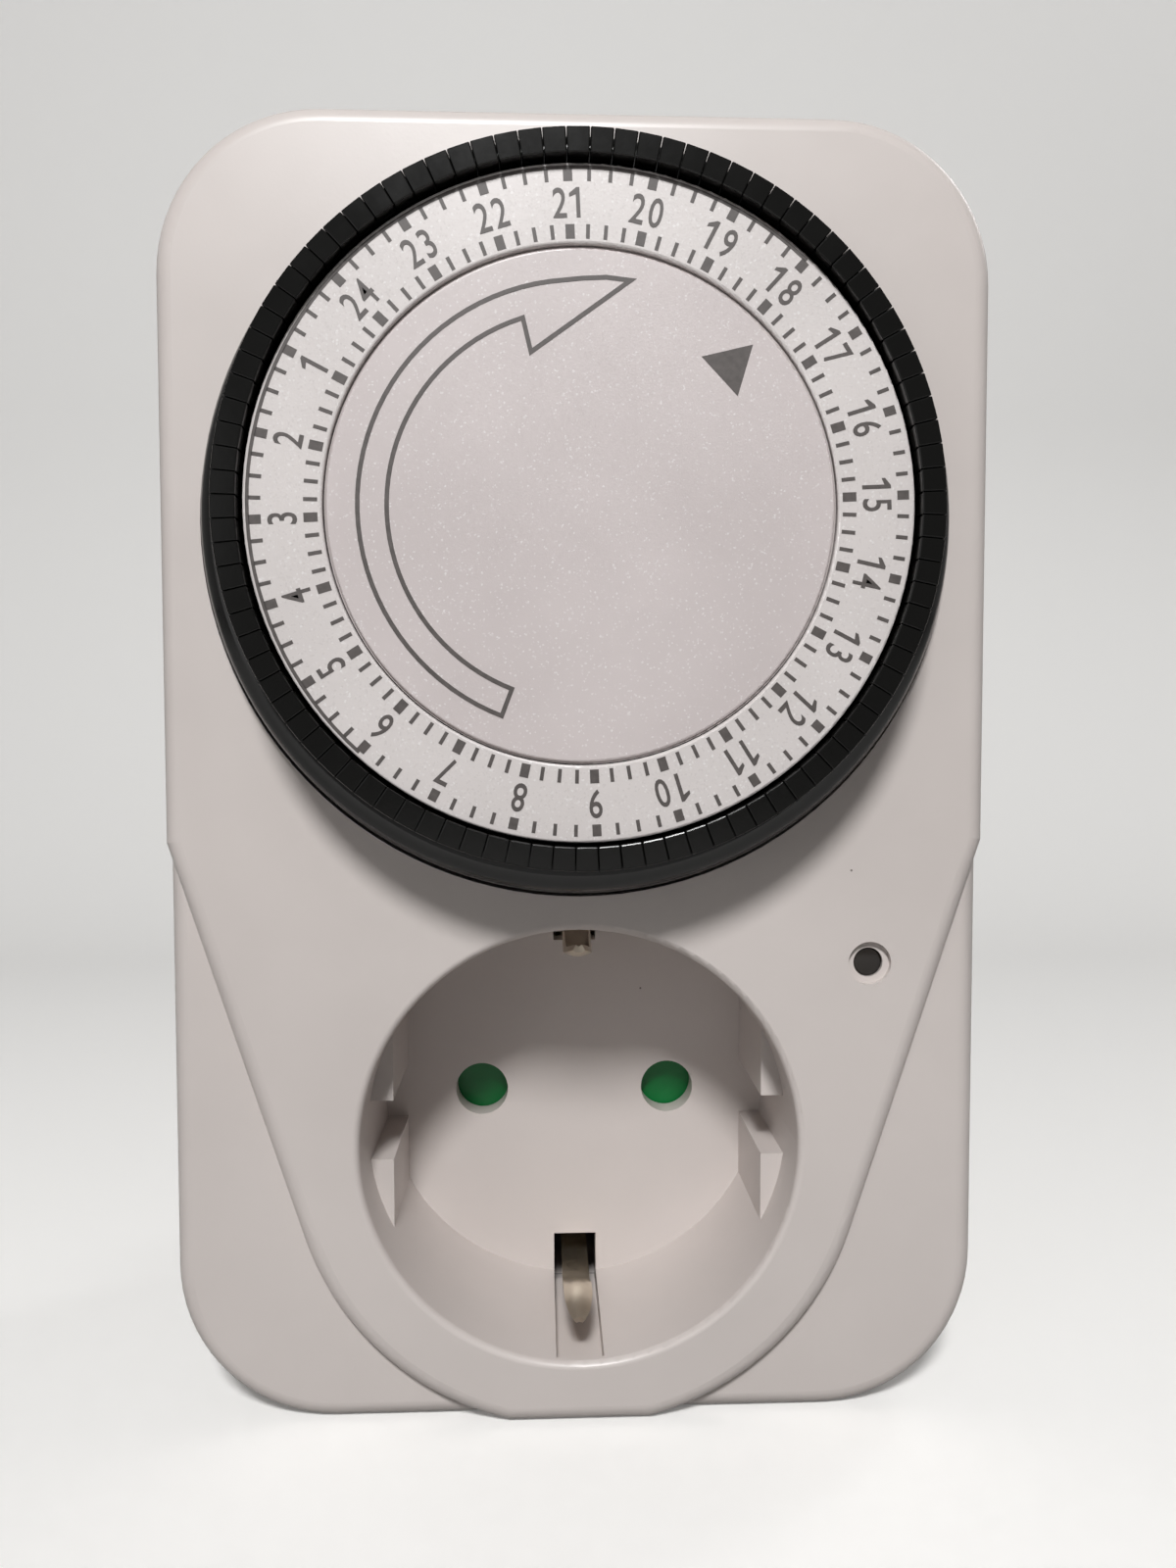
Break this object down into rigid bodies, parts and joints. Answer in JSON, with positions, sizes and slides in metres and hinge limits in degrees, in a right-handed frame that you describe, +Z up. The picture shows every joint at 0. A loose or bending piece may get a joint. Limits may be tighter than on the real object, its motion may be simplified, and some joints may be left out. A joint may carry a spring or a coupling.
{
  "type": "plug-in timer switch",
  "caption": "Plug-in 24 hour timer switch: earthed round-pin socket in front, matching plug behind, and a motor-driven dial ringed with push-in segments.",
  "frame": {"origin": "centre of the plug's contact face, on the axis of plug and socket", "axes": "+Y out of the plug face along the pins, so the dial and socket face -Y; +Z up towards the dial; +X to the right seen from the front"},
  "size_m": [0.0716, 0.0836, 0.1139],
  "materials": {
    "case_shell": "warm white moulded plastic with a soft gloss",
    "plug_plastic": "warm white moulded plastic",
    "plated_pin": "nickel plated brass",
    "earth_metal": "nickel plated spring bronze",
    "post_steel": "drawn steel rod",
    "contact_brass": "stamped brass strip",
    "spacer_plastic": "natural moulded plastic",
    "spring_steel": "spring wire",
    "lamp_glass": "clear glass of a glow lamp",
    "resistor_body": "lacquered resistor",
    "chassis_plastic": "grey moulded plastic",
    "motor_can": "zinc plated steel",
    "disc_plastic": "pearl grey moulded plastic",
    "ring_plastic": "pale moulded plastic with dark print",
    "drum_plastic": "black moulded plastic",
    "segment_plastic": "glossy black moulded plastic",
    "gear_plastic": "natural white gear plastic",
    "shutter_plastic": "green moulded plastic",
    "lever_plastic": "natural moulded plastic",
    "slider_plastic": "warm white moulded plastic",
    "screw_steel": "zinc plated steel screws"
  },
  "bodies": {
    "case": {"front_case": "case_shell", "rear_case": "case_shell", "plug_body": "plug_plastic", "live_pin": "plated_pin", "neutral_pin": "plated_pin", "plug_earth_clip": "earth_metal", "socket_earth_clip": "earth_metal", "earth_post": "post_steel", "neutral_contact": "contact_brass", "live_contact": "contact_brass", "contact_spacer": "spacer_plastic", "live_feed_strip": "contact_brass", "live_return_strip": "contact_brass", "moving_contact": "contact_brass", "fixed_contact": "contact_brass", "shutter_spring": "spring_steel", "shutter_cover": "spacer_plastic", "neon_lamp": "lamp_glass", "lamp_resistor": "resistor_body", "chassis": "chassis_plastic", "motor_case": "motor_can", "arbor_first": "post_steel", "arbor_second": "post_steel", "centre_disc": "disc_plastic", "lever_pin": "post_steel", "case_screws": "screw_steel", "chassis_screws": "screw_steel"},
    "dial": {"dial_drum": "drum_plastic", "number_ring": "ring_plastic"},
    "segments_00": {"segments_00": "segment_plastic"},
    "segments_01": {"segments_01": "segment_plastic"},
    "segments_02": {"segments_02": "segment_plastic"},
    "segments_03": {"segments_03": "segment_plastic"},
    "segments_04": {"segments_04": "segment_plastic"},
    "segments_05": {"segments_05": "segment_plastic"},
    "segments_06": {"segments_06": "segment_plastic"},
    "segments_07": {"segments_07": "segment_plastic"},
    "segments_08": {"segments_08": "segment_plastic"},
    "segments_09": {"segments_09": "segment_plastic"},
    "segments_10": {"segments_10": "segment_plastic"},
    "segments_11": {"segments_11": "segment_plastic"},
    "segments_12": {"segments_12": "segment_plastic"},
    "segments_13": {"segments_13": "segment_plastic"},
    "segments_14": {"segments_14": "segment_plastic"},
    "segments_15": {"segments_15": "segment_plastic"},
    "segments_16": {"segments_16": "segment_plastic"},
    "segments_17": {"segments_17": "segment_plastic"},
    "segments_18": {"segments_18": "segment_plastic"},
    "segments_19": {"segments_19": "segment_plastic"},
    "segments_20": {"segments_20": "segment_plastic"},
    "segments_21": {"segments_21": "segment_plastic"},
    "segments_22": {"segments_22": "segment_plastic"},
    "segments_23": {"segments_23": "segment_plastic"},
    "gear_second": {"gear_second": "gear_plastic"},
    "gear_first": {"gear_first": "gear_plastic"},
    "motor_pinion": {"motor_pinion": "gear_plastic"},
    "shutter": {"shutter": "shutter_plastic"},
    "sense_lever": {"sense_lever": "lever_plastic"},
    "override_slider": {"override_slider": "slider_plastic"}
  },
  "joints": [
    {"name": "dial_turn", "type": "hinge", "parent": "case", "child": "dial", "pos_m": [0, -0.052, 0.0543], "axis": [0, 1, 0], "continuous": true},
    {"name": "segments_00_push", "type": "slide", "parent": "dial", "child": "segments_00", "axis": [0, 1, 0], "range_m": [0, 0.0025]},
    {"name": "segments_01_push", "type": "slide", "parent": "dial", "child": "segments_01", "axis": [0, 1, 0], "range_m": [0, 0.0025]},
    {"name": "segments_02_push", "type": "slide", "parent": "dial", "child": "segments_02", "axis": [0, 1, 0], "range_m": [0, 0.0025]},
    {"name": "segments_03_push", "type": "slide", "parent": "dial", "child": "segments_03", "axis": [0, 1, 0], "range_m": [0, 0.0025]},
    {"name": "segments_04_push", "type": "slide", "parent": "dial", "child": "segments_04", "axis": [0, 1, 0], "range_m": [0, 0.0025]},
    {"name": "segments_05_push", "type": "slide", "parent": "dial", "child": "segments_05", "axis": [0, 1, 0], "range_m": [0, 0.0025]},
    {"name": "segments_06_push", "type": "slide", "parent": "dial", "child": "segments_06", "axis": [0, 1, 0], "range_m": [0, 0.0025]},
    {"name": "segments_07_push", "type": "slide", "parent": "dial", "child": "segments_07", "axis": [0, 1, 0], "range_m": [0, 0.0025]},
    {"name": "segments_08_push", "type": "slide", "parent": "dial", "child": "segments_08", "axis": [0, 1, 0], "range_m": [0, 0.0025]},
    {"name": "segments_09_push", "type": "slide", "parent": "dial", "child": "segments_09", "axis": [0, 1, 0], "range_m": [0, 0.0025]},
    {"name": "segments_10_push", "type": "slide", "parent": "dial", "child": "segments_10", "axis": [0, 1, 0], "range_m": [0, 0.0025]},
    {"name": "segments_11_push", "type": "slide", "parent": "dial", "child": "segments_11", "axis": [0, 1, 0], "range_m": [0, 0.0025]},
    {"name": "segments_12_push", "type": "slide", "parent": "dial", "child": "segments_12", "axis": [0, 1, 0], "range_m": [0, 0.0025]},
    {"name": "segments_13_push", "type": "slide", "parent": "dial", "child": "segments_13", "axis": [0, 1, 0], "range_m": [0, 0.0025]},
    {"name": "segments_14_push", "type": "slide", "parent": "dial", "child": "segments_14", "axis": [0, 1, 0], "range_m": [0, 0.0025]},
    {"name": "segments_15_push", "type": "slide", "parent": "dial", "child": "segments_15", "axis": [0, 1, 0], "range_m": [0, 0.0025]},
    {"name": "segments_16_push", "type": "slide", "parent": "dial", "child": "segments_16", "axis": [0, 1, 0], "range_m": [0, 0.0025]},
    {"name": "segments_17_push", "type": "slide", "parent": "dial", "child": "segments_17", "axis": [0, 1, 0], "range_m": [0, 0.0025]},
    {"name": "segments_18_push", "type": "slide", "parent": "dial", "child": "segments_18", "axis": [0, 1, 0], "range_m": [0, 0.0025]},
    {"name": "segments_19_push", "type": "slide", "parent": "dial", "child": "segments_19", "axis": [0, 1, 0], "range_m": [0, 0.0025]},
    {"name": "segments_20_push", "type": "slide", "parent": "dial", "child": "segments_20", "axis": [0, 1, 0], "range_m": [0, 0.0025]},
    {"name": "segments_21_push", "type": "slide", "parent": "dial", "child": "segments_21", "axis": [0, 1, 0], "range_m": [0, 0.0025]},
    {"name": "segments_22_push", "type": "slide", "parent": "dial", "child": "segments_22", "axis": [0, 1, 0], "range_m": [0, 0.0025]},
    {"name": "segments_23_push", "type": "slide", "parent": "dial", "child": "segments_23", "axis": [0, 1, 0], "range_m": [0, 0.0025]},
    {"name": "gear_second_turn", "type": "hinge", "parent": "case", "child": "gear_second", "pos_m": [-0.01645, -0.05, 0.04831], "axis": [0, 1, 0], "continuous": true},
    {"name": "gear_first_turn", "type": "hinge", "parent": "case", "child": "gear_first", "pos_m": [-0.01645, -0.048, 0.06082], "axis": [0, 1, 0], "continuous": true},
    {"name": "motor_pinion_turn", "type": "hinge", "parent": "case", "child": "motor_pinion", "pos_m": [-0.00562, -0.048, 0.06706], "axis": [0, 1, 0], "continuous": true},
    {"name": "shutter_turn", "type": "hinge", "parent": "case", "child": "shutter", "pos_m": [0, -0.0349, 0], "axis": [0, 1, 0], "range_deg": [0, 38], "stiffness_Nm_per_rad": 0.002, "springref_deg": -8.59},
    {"name": "lever_tilt", "type": "hinge", "parent": "case", "child": "sense_lever", "pos_m": [0.02013, -0.05, 0.0624], "axis": [-1, 0, 0], "range_deg": [0, 13.34]},
    {"name": "override_slide", "type": "slide", "parent": "case", "child": "override_slider", "axis": [0, 0, 1], "range_m": [0, 0.004]}
  ],
  "couplings": [
    {"joint": "gear_second_turn", "follows": "dial_turn", "ratio": -6},
    {"joint": "gear_first_turn", "follows": "dial_turn", "ratio": 24},
    {"joint": "motor_pinion_turn", "follows": "dial_turn", "ratio": -96},
    {"joint": "lever_tilt", "follows": "segments_17_push", "rad_per_m": 91.71}
  ]
}
